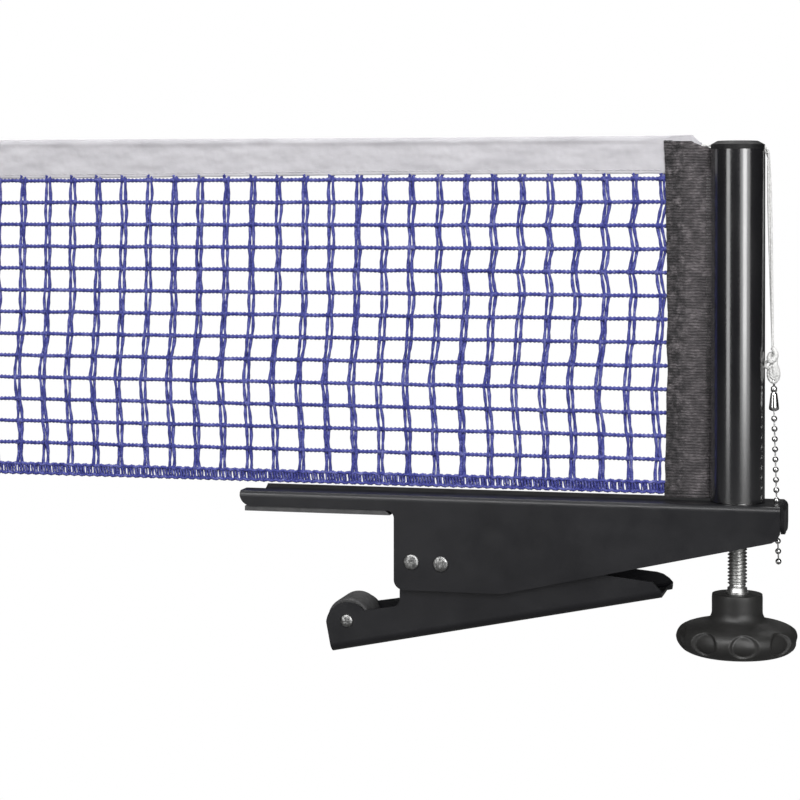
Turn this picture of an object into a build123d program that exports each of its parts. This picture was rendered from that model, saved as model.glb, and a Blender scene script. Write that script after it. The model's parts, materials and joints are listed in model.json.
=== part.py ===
from build123d import *
import math
import os

# Table tennis net clamp with its post and a stretch of net. Millimetres.
# +X points outboard, away from the table, +Y runs across the clamp and +Z is up.
# The origin is the middle of the jaw pad's underside, where the clamp sits on the table top.

# Driving dimensions
NET_TOP = 152.5  # top of the net above the table top, set by the rules of the game
TAPE_HEIGHT = 15.0  # white top tape, set by the rules of the game
SHEET = 1.6  # steel sheet of the clamp frame
LEVER_SHEET = 1.5  # steel sheet of the lower jaw lever
FRAME_HALF = 14.0  # half the frame's width
FRAME_BEND = 2.4  # outside radius of the frame's bends
LEVER_HALF = 12.1  # half the lever's width
LEVER_BEND = 3.5  # outside radius of the lever's bends
WEB_TOP = 8.2  # top face of the frame above the table top
ARM_FOOT = 2.0  # lower edge of the arm's flanges
JAW_X = 31.4  # upright edge of the jaw, which stops against the table's edge
ARM_END = -33.7  # inboard end of the frame
FRAME_END = 186.6  # outboard end of the frame
POST_X = 167.5  # axis of the post, the height screw and the knob
POST_R = 10.7
POST_BORE_R = 9.2
POST_TOP = 147.0
SLIT_WIDTH = 2.6  # slit in the post that takes the net's hem
PIVOT = (38.7, -18.4)  # lever pivot, X and Z
STOP_PIN = (50.8, -18.8)  # pin that limits the lever's swing, X and Z
ROLLER = (11.3, -43.6)  # roller axle, X and Z
HEEL = (4.9, -56.6)  # inboard end of the lever's floor, X and Z
TAIL = (138.9, -29.4)  # outboard end of the lever's floor, X and Z
ROLLER_R = 8.8
LEVER_CLOSING = 30.0  # degrees that the lever can close from its drawn place
LEVER_OPENING = 8.0  # degrees that the lever can open from its drawn place
SCREW_R = 3.85  # height screw of 5/16 inch
SHANK_R = 3.9
SCREW_FOOT = -46.0
KNOB_R = 23.87
KNOB_TOP = -28.0
INSERT_R = 6.0
INSERT_SPAN = (-44.0, -30.0)  # brass bush in the knob, Z
JOURNAL_R = 3.0  # thin top of the height screw, which turns in the post's plug
PLUG_SPAN = (36.0, 46.0)  # plug in the post, Z
RING_SPAN = (46.3, 47.3)  # retaining ring above the plug, Z
RING_SEAT_R = 2.4
WASHER_HEIGHT = 1.0
FIT = 0.05  # radial clearance of a running fit
GAP = 0.3  # clearance between pieces that move past each other
NET_END_X = -157.0  # inboard end of the stretch of net
SLEEVE_X = 138.2  # inboard edge of the net's end sleeve
MESH_ROW = 9.29  # spacing of the net's rows
MESH_COLUMN = 11.33  # spacing of the net's columns
MESH_ROWS = 13
HEM_X = 163.1  # axis of the hem inside the post
BATTEN_R = 3.0  # rod in the hem
HEM_SPAN = (51.0, 138.0)  # Z
CORD_R = 0.95
BEAD_R = 1.2
BEAD_PITCH = 4.0
BEADS = 15
CHAIN_X = 182.9  # where the chain passes the frame

TAPE_FOOT = NET_TOP - TAPE_HEIGHT
NET_FOOT = 10.5
BAND_TOP = 15.5
FAR = 400.0  # larger than any piece, for cutting tools


def block(x0, x1, y0, y1, z0, z1):
    """Box between two corners."""
    centre = ((x0 + x1) / 2, (y0 + y1) / 2, (z0 + z1) / 2)
    return Pos(*centre) * Box(x1 - x0, y1 - y0, z1 - z0)


def rod_z(x, radius, z0, z1, y=0.0):
    """Upright cylinder."""
    return Pos(x, y, (z0 + z1) / 2) * Cylinder(radius, z1 - z0)


def rod_y(x, z, radius, y0, y1):
    """Cylinder across the clamp."""
    return Pos(x, (y0 + y1) / 2, z) * Rot(90, 0, 0) * Cylinder(radius, y1 - y0)


def ring_y(x, z, outer, inner, y0, y1):
    """Tube across the clamp."""
    return rod_y(x, z, outer, y0, y1) - rod_y(x, z, inner, y0, y1)


def side_plate(outline, half_width):
    """Face drawn in the XZ plane, made into a plate that is centred on Y = 0."""
    return extrude(outline, amount=half_width, both=True)


def side_face(points):
    """Closed outline of straight lines in the XZ plane."""
    corners = [(x, 0, z) for x, z in points]
    return make_face(Polyline(*corners, close=True))


def rounded(face, corners, radius):
    """The face with the corners nearest to the given XZ points rounded."""
    near = [min(face.vertices(), key=lambda v: math.hypot(v.X - x, v.Z - z)) for x, z in corners]
    return Face(face.wire().fillet_2d(radius, near))


def rivet(x, z, shaft_r, head_r, seat, head_height):
    """Rivet across the clamp, with a low domed head against each outer face."""
    body = rod_y(x, z, shaft_r, -seat, seat)
    for side in (-1, 1):
        y0, y1 = sorted((side * seat, side * (seat + head_height)))
        head = rod_y(x, z, head_r, y0, y1)
        rim = head.edges().filter_by(GeomType.CIRCLE).sort_by(lambda e: side * e.center().Y)[-1]
        body += fillet(rim, head_height * 0.8)
    return body


# Clamp frame ---------------------------------------------------------------


def frame_outline():
    """Side view of the frame, from the inboard end of the arm."""
    foot = -29.8
    end = FRAME_END - SHEET
    points = [
        (ARM_END, WEB_TOP),
        (end, WEB_TOP),
        (end, -2.4),
        (end - 1.2, -4.6),
        (end - 3.2, -5.8),
        (75.8, foot),
        (JAW_X, foot),
        (JAW_X, ARM_FOOT),
        (ARM_END, ARM_FOOT),
    ]
    face = side_face(points)
    face = rounded(face, [(ARM_END, ARM_FOOT)], 5.0)
    face = rounded(face, [(JAW_X, foot)], 4.0)
    face = rounded(face, [(JAW_X, ARM_FOOT)], 3.0)
    return rounded(face, [(75.8, foot)], 6.0)


def end_tab():
    """The web's outboard end, turned down between the flanges."""
    half = FRAME_HALF - FRAME_BEND
    foot = -3.0
    inner = FRAME_END - SHEET
    plate = block(inner, FRAME_END, -half, half, foot, WEB_TOP)
    plate += block(inner - 2.0, FRAME_END, -half, half, WEB_TOP - SHEET, WEB_TOP)
    bend = [e for e in plate.edges().filter_by(Axis.Y) if e.center().X > inner + 1 and e.center().Z > 0]
    plate = fillet(bend, FRAME_BEND)
    lower = [e for e in plate.edges().filter_by(Axis.X) if e.center().Z < foot + 1]
    plate = fillet(lower, 4.0)
    return plate - block(inner - 0.5, FRAME_END + 1, -1.5, 1.5, foot - 1, WEB_TOP - SHEET - 0.3)


def nose_notch():
    """Room cut out of the arm's inboard end, behind its front flange."""
    corners = [(-FAR, -4.0), (-25.5, -4.0), (-30.2, FRAME_HALF + 1), (-FAR, FRAME_HALF + 1)]
    outline = make_face(Polyline(*corners, close=True))
    return extrude(outline, amount=FAR, both=True)


def frame_channel():
    solid = side_plate(frame_outline(), FRAME_HALF)
    ridge = [
        e
        for e in solid.edges().filter_by(Axis.X)
        if abs(e.center().Z - WEB_TOP) < 0.01 and e.length > 100
    ]
    solid = fillet(ridge, FRAME_BEND)
    inner = FRAME_HALF - SHEET
    hollow = block(-FAR, FAR, -inner, inner, -FAR, WEB_TOP - SHEET)
    hollow = fillet(
        [e for e in hollow.edges().filter_by(Axis.X) if e.center().Z > 0], FRAME_BEND - SHEET
    )
    solid -= hollow
    solid += end_tab()
    solid -= block(CHAIN_X, FAR, -0.75, 0.75, 0, FAR)
    solid -= rod_z(CHAIN_X, 0.75, 0, WEB_TOP + 1)
    solid -= rod_z(POST_X, SHANK_R + 0.3, 0, WEB_TOP + 1)
    solid -= rod_y(*PIVOT, 2.5, -FAR, FAR)
    solid -= rod_y(*STOP_PIN, 2.0, -FAR, FAR)
    return solid - nose_notch()


def jaw_pad():
    """Rubber strip that fills the arm's channel and covers its flange edges."""
    lip_start, lip_end = -31.5, 29.6
    core_start, core_end = -24.0, 25.6
    lip = block(lip_start, lip_end, -13.6, 13.6, 0, ARM_FOOT)
    lip = chamfer(lip.edges().filter_by(Axis.Y).sort_by(Axis.X)[-2:].sort_by(Axis.Z)[-1], 1.9)
    inner = FRAME_HALF - SHEET
    core = block(core_start, core_end, -inner, inner, ARM_FOOT, WEB_TOP - SHEET)
    core = fillet([e for e in core.edges().filter_by(Axis.X) if e.center().Z > 3], FRAME_BEND - SHEET)
    return lip + core - nose_notch()


def guide_spigot():
    """Tube welded on the frame that guides the post as it slides up."""
    top = 34.2
    radius = POST_BORE_R - FIT
    spigot = rod_z(POST_X, radius, WEB_TOP, top) - rod_z(POST_X, 4.5, WEB_TOP, top)
    rim = spigot.edges().filter_by(GeomType.CIRCLE).sort_by(Axis.Z)[-2:].sort_by(lambda e: e.radius)[-1]
    return chamfer(rim, 0.8)


def weld_nut():
    """Hexagon nut under the web, which the height screw runs in."""
    height = 5.5
    flat_r = 6.3
    top = WEB_TOP - SHEET
    hexagon = extrude(RegularPolygon(flat_r, 6, major_radius=False), amount=height)
    nut = Pos(POST_X, 0, top - height) * hexagon
    return nut - rod_z(POST_X, SCREW_R + FIT, top - height, top)


# Lower jaw lever -----------------------------------------------------------


def lever_outline():
    """Side view of the lever. The bottom line rises gently towards the tail."""
    nose_x, nose_z, nose_r = 10.8, -44.4, 8.2
    valley = (18.8, -40.1)
    nose = ThreePointArc(
        (valley[0] - 0.4, 0, valley[1] + 0.9),
        (nose_x, 0, nose_z + nose_r),
        (nose_x - nose_r, 0, nose_z),
    )
    lower = Polyline(nose @ 1, (HEEL[0], 0, HEEL[1]), (TAIL[0], 0, TAIL[1]))
    upper = Polyline(
        lower @ 1,
        (139.2, 0, -27.2),
        (138.2, 0, -25.7),
        (135.6, 0, -23.0),
        (116.2, 0, -20.9),
        (72, 0, -14.5),
        (55, 0, -4.0),
        (44, 0, -3.0),
        (33.4, 0, -12.0),
        (33.4, 0, -36.6),
        (25.7, 0, -38.0),
        nose @ 0,
    )
    face = make_face([nose, lower, upper])
    face = rounded(face, [(55, -4), (44, -3), (33.4, -12)], 4.0)
    return rounded(face, [(33.4, -36.6)], 3.0)


def far_tail():
    """Longer and rounder tail of the lever's far side."""
    tip_x = 140.9
    rise = (TAIL[1] - HEEL[1]) / (TAIL[0] - HEEL[0])
    root_x = 120.0
    corners = [
        (root_x, HEEL[1] + rise * (root_x - HEEL[0])),
        (tip_x, HEEL[1] + rise * (tip_x - HEEL[0])),
        (tip_x, -26.6),
        (139.4, -25.0),
        (137.0, -23.4),
        (134.4, -22.7),
        (root_x, -21.4),
    ]
    plate = side_plate(side_face(corners), LEVER_BEND / 2)
    return Pos(0, LEVER_HALF - LEVER_BEND / 2, 0) * plate


def arc_slot(centre, pin, half_width, low, high):
    """Outline of a slot that follows a circle about centre, between two angles in degrees."""
    radius = math.dist(centre, pin)
    bounds = (radius - half_width, radius + half_width)

    def spot(r, angle):
        turn = math.radians(angle)
        return (centre[0] + r * math.cos(turn), 0, centre[1] + r * math.sin(turn))

    middle = (low + high) / 2
    cap = math.degrees(half_width / radius)
    inner = ThreePointArc(spot(bounds[0], low), spot(bounds[0], middle), spot(bounds[0], high))
    outer = ThreePointArc(spot(bounds[1], high), spot(bounds[1], middle), spot(bounds[1], low))
    far_cap = ThreePointArc(inner @ 1, spot(radius, high + cap), outer @ 0)
    near_cap = ThreePointArc(outer @ 1, spot(radius, low - cap), inner @ 0)
    return make_face([inner, far_cap, outer, near_cap])


def lever_channel():
    """Channel that opens upward, with a curved slot for the stop pin."""
    slope = math.degrees(math.atan2(TAIL[1] - HEEL[1], TAIL[0] - HEEL[0]))
    solid = side_plate(lever_outline(), LEVER_HALF) + far_tail()
    ridge = [
        e
        for e in solid.edges()
        if e.geom_type == GeomType.LINE and e.length > 100 and abs((e @ 0).Y - (e @ 1).Y) < 0.01
        and e.center().Z < -30
    ]
    solid = fillet(ridge, LEVER_BEND)
    inner = LEVER_HALF - LEVER_SHEET
    hollow = block(-FAR, FAR, -inner, inner, LEVER_SHEET, FAR)
    floor_edges = [e for e in hollow.edges().filter_by(Axis.X) if e.center().Z < 10]
    hollow = fillet(floor_edges, LEVER_BEND - LEVER_SHEET)
    solid -= Pos(HEEL[0], 0, HEEL[1]) * Rot(0, -slope, 0) * hollow
    solid -= rod_y(*PIVOT, 2.5 + FIT, -FAR, FAR)
    solid -= rod_y(*ROLLER, 2.0, -FAR, FAR)
    pin_angle = math.degrees(math.atan2(STOP_PIN[1] - PIVOT[1], STOP_PIN[0] - PIVOT[0]))
    slot = arc_slot(
        PIVOT, STOP_PIN, 2.3, pin_angle - LEVER_OPENING - 1, pin_angle + LEVER_CLOSING + 1
    )
    return solid - side_plate(slot, FAR)


def roller_tyre():
    half = 9.4
    tyre = ring_y(*ROLLER, ROLLER_R, 4.5, -half, half)
    rims = [e for e in tyre.edges().filter_by(GeomType.CIRCLE) if e.radius > ROLLER_R - 0.1]
    return fillet(rims, 1.0)


def roller_hub():
    return ring_y(*ROLLER, 4.5, 2.0 + FIT, -9.6, 9.6)


def roller_axle():
    return rivet(*ROLLER, 2.0, 2.6, LEVER_HALF, 0.9)


def roller_washers():
    inner = LEVER_HALF - LEVER_SHEET
    left = ring_y(*ROLLER, 4.0, 2.0, -inner, -inner + 0.7)
    right = ring_y(*ROLLER, 4.0, 2.0, inner - 0.7, inner)
    return Compound([left, right])


def pivot_rivet():
    return rivet(*PIVOT, 2.5, 3.1, FRAME_HALF, 1.0)


def stop_rivet():
    return rivet(*STOP_PIN, 2.0, 3.1, FRAME_HALF, 1.0)


def pivot_bush():
    inner = LEVER_HALF - LEVER_SHEET
    return ring_y(*PIVOT, 4.0, 2.5 + FIT, -inner, inner)


def torsion_spring():
    """Coil round the pivot bush, with one leg under the frame's web and one on the lever's floor."""
    wire_r = 0.8
    coil_r = 5.6
    turns = 6
    pitch = 2.0
    half = turns * pitch / 2
    helix = Helix(pitch, turns * pitch, coil_r)
    start = Plane(origin=helix @ 0, z_dir=helix % 0)
    coil = sweep(start * Circle(wire_r), path=helix, is_frenet=True)
    coil = Pos(PIVOT[0], half, PIVOT[1]) * Rot(90, 0, 0) * coil
    legs = []
    for side, bend_rise, tip in ((1, 1.2, (66.0, 5.2)), (-1, -2.4, (80.0, -38.2))):
        root = (PIVOT[0] + coil_r, side * half, PIVOT[1])
        bend = (PIVOT[0] + coil_r + 2.4, side * (half + wire_r), PIVOT[1] + bend_rise)
        end = (tip[0], side * (half + wire_r), tip[1])
        path = FilletPolyline(root, bend, end, radius=1.2)
        legs.append(sweep(Plane(origin=path @ 0, z_dir=path % 0) * Circle(wire_r), path=path))
    return Compound([coil] + legs)


# Post and height screw -----------------------------------------------------


def cord_notch():
    """Room for the cord over the outboard edge of the post."""
    return block(POST_X, POST_X + POST_R + 1, -1.4, 1.4, 142.4, FAR)


def post_tube():
    foot = WEB_TOP + GAP
    tube = rod_z(POST_X, POST_R, foot, POST_TOP) - rod_z(POST_X, POST_BORE_R, foot, POST_TOP)
    tube -= block(POST_X - POST_R - 1, POST_X, -SLIT_WIDTH / 2, SLIT_WIDTH / 2, 50, FAR)
    return tube - cord_notch()


def post_cap():
    top = 150.3
    head = Pos(POST_X, 0, POST_TOP) * extrude(Circle(POST_R - 0.1), amount=top - POST_TOP)
    rim = head.edges().filter_by(GeomType.CIRCLE).sort_by(Axis.Z)[-1]
    head = chamfer(rim, length=1.4, length2=2.6)
    plug = rod_z(POST_X, POST_BORE_R, 140, POST_TOP)
    cap = head + plug
    cap -= block(POST_X - POST_R - 1, FAR, -1.25, 1.25, 147.6, FAR)
    cap -= block(POST_X + 5.0, FAR, -1.4, 1.4, 145.6, FAR)
    return cap - block(POST_X + 7.5, FAR, -1.4, 1.4, 139, FAR)


def post_foot_plug():
    """Steel plug in the post that rests on the height screw."""
    return rod_z(POST_X, POST_BORE_R, *PLUG_SPAN) - rod_z(POST_X, JOURNAL_R + FIT, *PLUG_SPAN)


def height_screw():
    """Screw with a plain shank above the knob and a thinner journal at its top."""
    thread_foot = -25.3
    shoulder = PLUG_SPAN[0] - GAP - WASHER_HEIGHT
    top = 49.0
    screw = rod_z(POST_X, SHANK_R, SCREW_FOOT, thread_foot)
    screw += rod_z(POST_X, SCREW_R, thread_foot, shoulder)
    screw += rod_z(POST_X, JOURNAL_R, shoulder, top)
    groove = rod_z(POST_X, JOURNAL_R + 1, *RING_SPAN) - rod_z(POST_X, RING_SEAT_R, *RING_SPAN)
    return screw - groove


def thrust_washer():
    """Washer on the screw's shoulder, under the post's plug."""
    top = PLUG_SPAN[0] - GAP
    foot = top - WASHER_HEIGHT
    return rod_z(POST_X, 6.0, foot, top) - rod_z(POST_X, JOURNAL_R, foot, top)


def retaining_ring():
    """Open ring in the screw's groove, above the post's plug."""
    ring_r = 5.0
    half_mouth = 1.6
    ring = rod_z(POST_X, ring_r, *RING_SPAN) - rod_z(POST_X, RING_SEAT_R, *RING_SPAN)
    return ring - block(POST_X, POST_X + ring_r + 1, -half_mouth, half_mouth, *RING_SPAN)


def screw_collar():
    """Plated ring between the thread and the knob."""
    ring_r, height = 4.4, 0.8
    top = KNOB_TOP + height
    return rod_z(POST_X, ring_r, KNOB_TOP, top) - rod_z(POST_X, SHANK_R, KNOB_TOP, top)


def knob_insert():
    """Brass bush moulded into the knob, fixed on the screw's shank."""
    return rod_z(POST_X, INSERT_R, *INSERT_SPAN) - rod_z(POST_X, SHANK_R, *INSERT_SPAN)


def knob_section():
    """Half section of the knob: hub, hollow flare, thick rim and flat foot."""
    hub_r, foot = 9.9, -51.5
    rim = (KNOB_R, 0, -44.3)
    flare = [(hub_r, 0, -35.0), (10.8, 0, -37.6), (14.0, 0, -39.2), (19.0, 0, -40.2), rim]
    belly = [rim, (22.4, 0, -48.6), (17.0, 0, foot)]
    upper = Spline(*flare, tangents=[(0, 0, -1), (0, 0, -1)])
    lower = Spline(*belly, tangents=[(0, 0, -1), (-1, 0, 0)])
    base = Polyline(lower @ 1, (0, 0, foot), (0, 0, KNOB_TOP), (hub_r, 0, KNOB_TOP), upper @ 0)
    return make_face([upper, lower, base])


def knob():
    """Turned body with finger hollows round the rim and a seat for the brass bush."""
    body = revolve(knob_section(), axis=Axis.Z)
    hollows = 9
    first_angle = -78.4
    ball_r = 9.0
    depth = 1.3
    reach = KNOB_R + ball_r - depth
    for number in range(hollows):
        turn = math.radians(first_angle + number * 360 / hollows)
        body -= Pos(reach * math.cos(turn), reach * math.sin(turn), -45.0) * Sphere(ball_r)
    body = Pos(POST_X, 0, 0) * body
    body -= rod_z(POST_X, SHANK_R, SCREW_FOOT, KNOB_TOP)
    return body - rod_z(POST_X, INSERT_R, *INSERT_SPAN)


# Net -----------------------------------------------------------------------


def net_tape():
    """Folded white tape. Its end runs over the sleeve as a narrow tongue that the cord leaves."""
    tape = side_plate(
        side_face([(NET_END_X, TAPE_FOOT), (SLEEVE_X, TAPE_FOOT), (SLEEVE_X, NET_TOP), (NET_END_X, NET_TOP)]),
        0.6,
    )
    tongue = side_face(
        [
            (SLEEVE_X, 151.0),
            (148.6, 151.0),
            (153.0, 147.7),
            (153.0, 149.8),
            (149.4, 152.9),
            (SLEEVE_X, NET_TOP),
        ]
    )
    return tape + side_plate(tongue, 1.0)


def net_mesh():
    """Straight strands in the place of the knotted threads."""
    strand = 0.9
    first_row = 135.5
    solid = None
    for row in range(MESH_ROWS):
        z = first_row - row * MESH_ROW
        bar = block(NET_END_X, SLEEVE_X, -strand / 2, strand / 2, z - strand / 2, z + strand / 2)
        solid = bar if solid is None else solid + bar
    columns = int((SLEEVE_X - NET_END_X) / MESH_COLUMN)
    posts = []
    for column in range(1, columns + 1):
        x = SLEEVE_X - column * MESH_COLUMN
        posts.append(
            block(x - strand / 2, x + strand / 2, -strand / 2, strand / 2, BAND_TOP, TAPE_FOOT)
        )
    return solid + posts


def net_bottom_band():
    return block(NET_END_X, SLEEVE_X, -0.7, 0.7, NET_FOOT, BAND_TOP)


def net_end_sleeve():
    """Fabric panel beside the post, its neck through the slit and the hem round the batten."""
    panel = side_face(
        [
            (SLEEVE_X, 9.1),
            (151.8, 9.1),
            (156.0, 13.5),
            (156.0, 143.6),
            (148.4, 150.7),
            (SLEEVE_X, 150.7),
        ]
    )
    sleeve = side_plate(panel, 1.3)
    sleeve += block(155.9, HEM_X, -0.8, 0.8, *HEM_SPAN)
    sleeve += rod_z(HEM_X, BATTEN_R + 1, *HEM_SPAN)
    return sleeve - rod_z(HEM_X, BATTEN_R, *HEM_SPAN)


def sleeve_batten():
    """Rod that keeps the hem inside the post."""
    overhang = 0.4
    return rod_z(HEM_X, BATTEN_R, HEM_SPAN[0] - overhang, HEM_SPAN[1] + overhang)


# Cord and chain ------------------------------------------------------------


def cord_route():
    """Cord's points: out of the tape's tongue, over the post's edge and down to the knot."""
    return [(153.3, 0, 148.7), (179.4, 0, 148.7), (181.2, 0, 68.4)]


def net_cord():
    points = cord_route()
    edge_r = 7.5  # the cord lies tight over the post's edge, at about that edge's size
    path = FilletPolyline(*points, radius=edge_r)
    tube = sweep(Plane(origin=path @ 0, z_dir=path % 0) * Circle(CORD_R), path=path)
    print("cord radius at the post's edge", edge_r)
    print("cord length", round(path.length, 2), "volume", round(tube.volume, 2))
    print("section times length", round(math.pi * CORD_R**2 * path.length, 2))
    return tube


def cord_knot():
    x, top, foot, radius = 181.2, 68.2, 55.0, 2.4
    body = Pos(x, 0, foot + radius) * Sphere(radius)
    body += rod_z(x, radius, foot + radius, top - radius)
    return body + Pos(x, 0, top - radius) * Sphere(radius)


def chain_connector():
    """Bell that grips the first bead and hooks into the knot."""
    top, crimp, foot = 55.0, 51.4, 44.6
    bell = Pos(181.7, 0, foot) * loft([Circle(2.0), Pos(0, 0, crimp - foot) * Circle(1.15)])
    neck = rod_z(181.7, 1.15, crimp, top)
    return bell + neck


def chain_place(number):
    """Centre of a bead. The chain hangs from the bell and leans out slightly."""
    top_x, top_z = 181.8, 41.2
    lean = 0.031
    drop = number * BEAD_PITCH
    return (top_x + drop * lean, 0, top_z - drop)


def ball_chain():
    beads = [Pos(*chain_place(number)) * Sphere(BEAD_R) for number in range(BEADS)]
    return Compound(beads)


def chain_links():
    """Short wires between the beads, and one up into the bell."""
    wires = []
    for number in range(-1, BEADS - 1):
        x0, y0, z0 = chain_place(number)
        x1, y1, z1 = chain_place(number + 1)
        top = 44.6 if number < 0 else z0 - BEAD_R
        wires.append(rod_z((x0 + x1) / 2, 0.3, z1 + BEAD_R, top))
    return Compound(wires)


PARTS = {
    "frame_channel": frame_channel,
    "jaw_pad": jaw_pad,
    "guide_spigot": guide_spigot,
    "weld_nut": weld_nut,
    "pivot_rivet": pivot_rivet,
    "stop_rivet": stop_rivet,
    "lever_channel": lever_channel,
    "pivot_bush": pivot_bush,
    "torsion_spring": torsion_spring,
    "roller_axle": roller_axle,
    "roller_washers": roller_washers,
    "roller_hub": roller_hub,
    "roller_tyre": roller_tyre,
    "post_tube": post_tube,
    "post_cap": post_cap,
    "post_foot_plug": post_foot_plug,
    "height_screw": height_screw,
    "thrust_washer": thrust_washer,
    "retaining_ring": retaining_ring,
    "screw_collar": screw_collar,
    "knob_insert": knob_insert,
    "knob": knob,
    "net_tape": net_tape,
    "net_mesh": net_mesh,
    "net_bottom_band": net_bottom_band,
    "net_end_sleeve": net_end_sleeve,
    "sleeve_batten": sleeve_batten,
    "net_cord": net_cord,
    "cord_knot": cord_knot,
    "chain_connector": chain_connector,
    "ball_chain": ball_chain,
    "chain_links": chain_links,
}

os.makedirs("parts", exist_ok=True)
for name, make in PARTS.items():
    export_step(make(), f"parts/{name}.step")
    print(name)
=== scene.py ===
"""Looks of the table tennis net clamp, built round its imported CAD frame.

Lengths in this script are millimetres in the frame's own axes: +X outboard, +Z up, and the origin
under the jaw pad, on the table top. Meshes are written in metres.
"""

import json
import math
import random

import bmesh
import bpy
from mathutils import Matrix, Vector, noise


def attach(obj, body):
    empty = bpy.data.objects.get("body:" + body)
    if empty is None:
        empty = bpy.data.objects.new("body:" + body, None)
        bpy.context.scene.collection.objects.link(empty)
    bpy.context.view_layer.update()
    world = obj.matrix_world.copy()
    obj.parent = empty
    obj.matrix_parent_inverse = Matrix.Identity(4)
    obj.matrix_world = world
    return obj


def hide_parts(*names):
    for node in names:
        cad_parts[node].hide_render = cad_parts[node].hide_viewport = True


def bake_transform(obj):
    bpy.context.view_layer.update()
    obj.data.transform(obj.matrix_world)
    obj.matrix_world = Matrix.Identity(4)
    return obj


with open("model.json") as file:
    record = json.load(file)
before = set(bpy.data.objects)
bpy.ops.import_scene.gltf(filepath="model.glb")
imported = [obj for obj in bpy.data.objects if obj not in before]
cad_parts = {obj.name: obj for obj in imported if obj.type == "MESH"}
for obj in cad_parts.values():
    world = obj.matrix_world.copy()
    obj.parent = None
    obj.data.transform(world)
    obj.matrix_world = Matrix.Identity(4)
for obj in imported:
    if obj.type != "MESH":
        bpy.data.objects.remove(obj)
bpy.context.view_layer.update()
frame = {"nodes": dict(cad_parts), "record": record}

MM = 0.001
TURN = 2 * math.pi
chance = random.Random(7)

# Sizes shared with the CAD frame
NET_START = -157.0
SLEEVE_START = 138.2
SLEEVE_END = 156.8
TAPE_TOP = 152.5
TAPE_FOOT = 137.5
FIRST_ROW = 135.5
ROW_SPACING = 9.29
ROW_COUNT = 13
COLUMN_SPACING = 11.35
BAND_TOP = 15.5
BAND_FOOT = 10.5
POST_X = 167.5
HEM_X = 163.1
HEM_FOOT = 51.0
HEM_TOP = 138.0
KNOB_TOP = -28.0
KNOB_RADIUS = 23.87
SCREW_RADIUS = 3.85
SCREW_PITCH = 1.41
SHANK_RADIUS = 3.9
BEAD_RADIUS = 1.2
BEAD_PITCH = 4.0
BEAD_COUNT = 15
FRAME_HALF = 14.0
LEVER_HALF = 12.1
PIVOT = (38.7, -18.4)
STOP_PIN = (50.8, -18.8)
ROLLER_AXLE = (11.3, -43.6)

# Routes of the cord and of the chain, in the XZ plane
CORD_ROUTE = [(153.3, 148.7), (167.5, 148.7), (179.4, 148.7), (179.7, 137.3), (181.2, 68.4)]
CHAIN_ROUTE = [(181.7, 44.6), (182.4, 22.0), (183.5, -13.8)]


# Camera ---------------------------------------------------------------------


def place_camera():
    """Long lens, almost level, at the height of the post's upper part and turned to look from outboard."""
    data = bpy.data.cameras.new("camera")
    data.lens = 99.19
    data.sensor_width = 36.0
    data.shift_y = -0.2166
    data.clip_end = 20.0
    camera = bpy.data.objects.new("camera", data)
    camera.location = Vector((244.3, -874.6, 124.1)) * MM
    pitch, yaw = 0.5, 13.73
    camera.rotation_euler = (math.radians(90 - pitch), 0, math.radians(yaw))
    bpy.context.scene.collection.objects.link(camera)
    bpy.context.scene.camera = camera


# Mesh helpers ---------------------------------------------------------------


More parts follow.
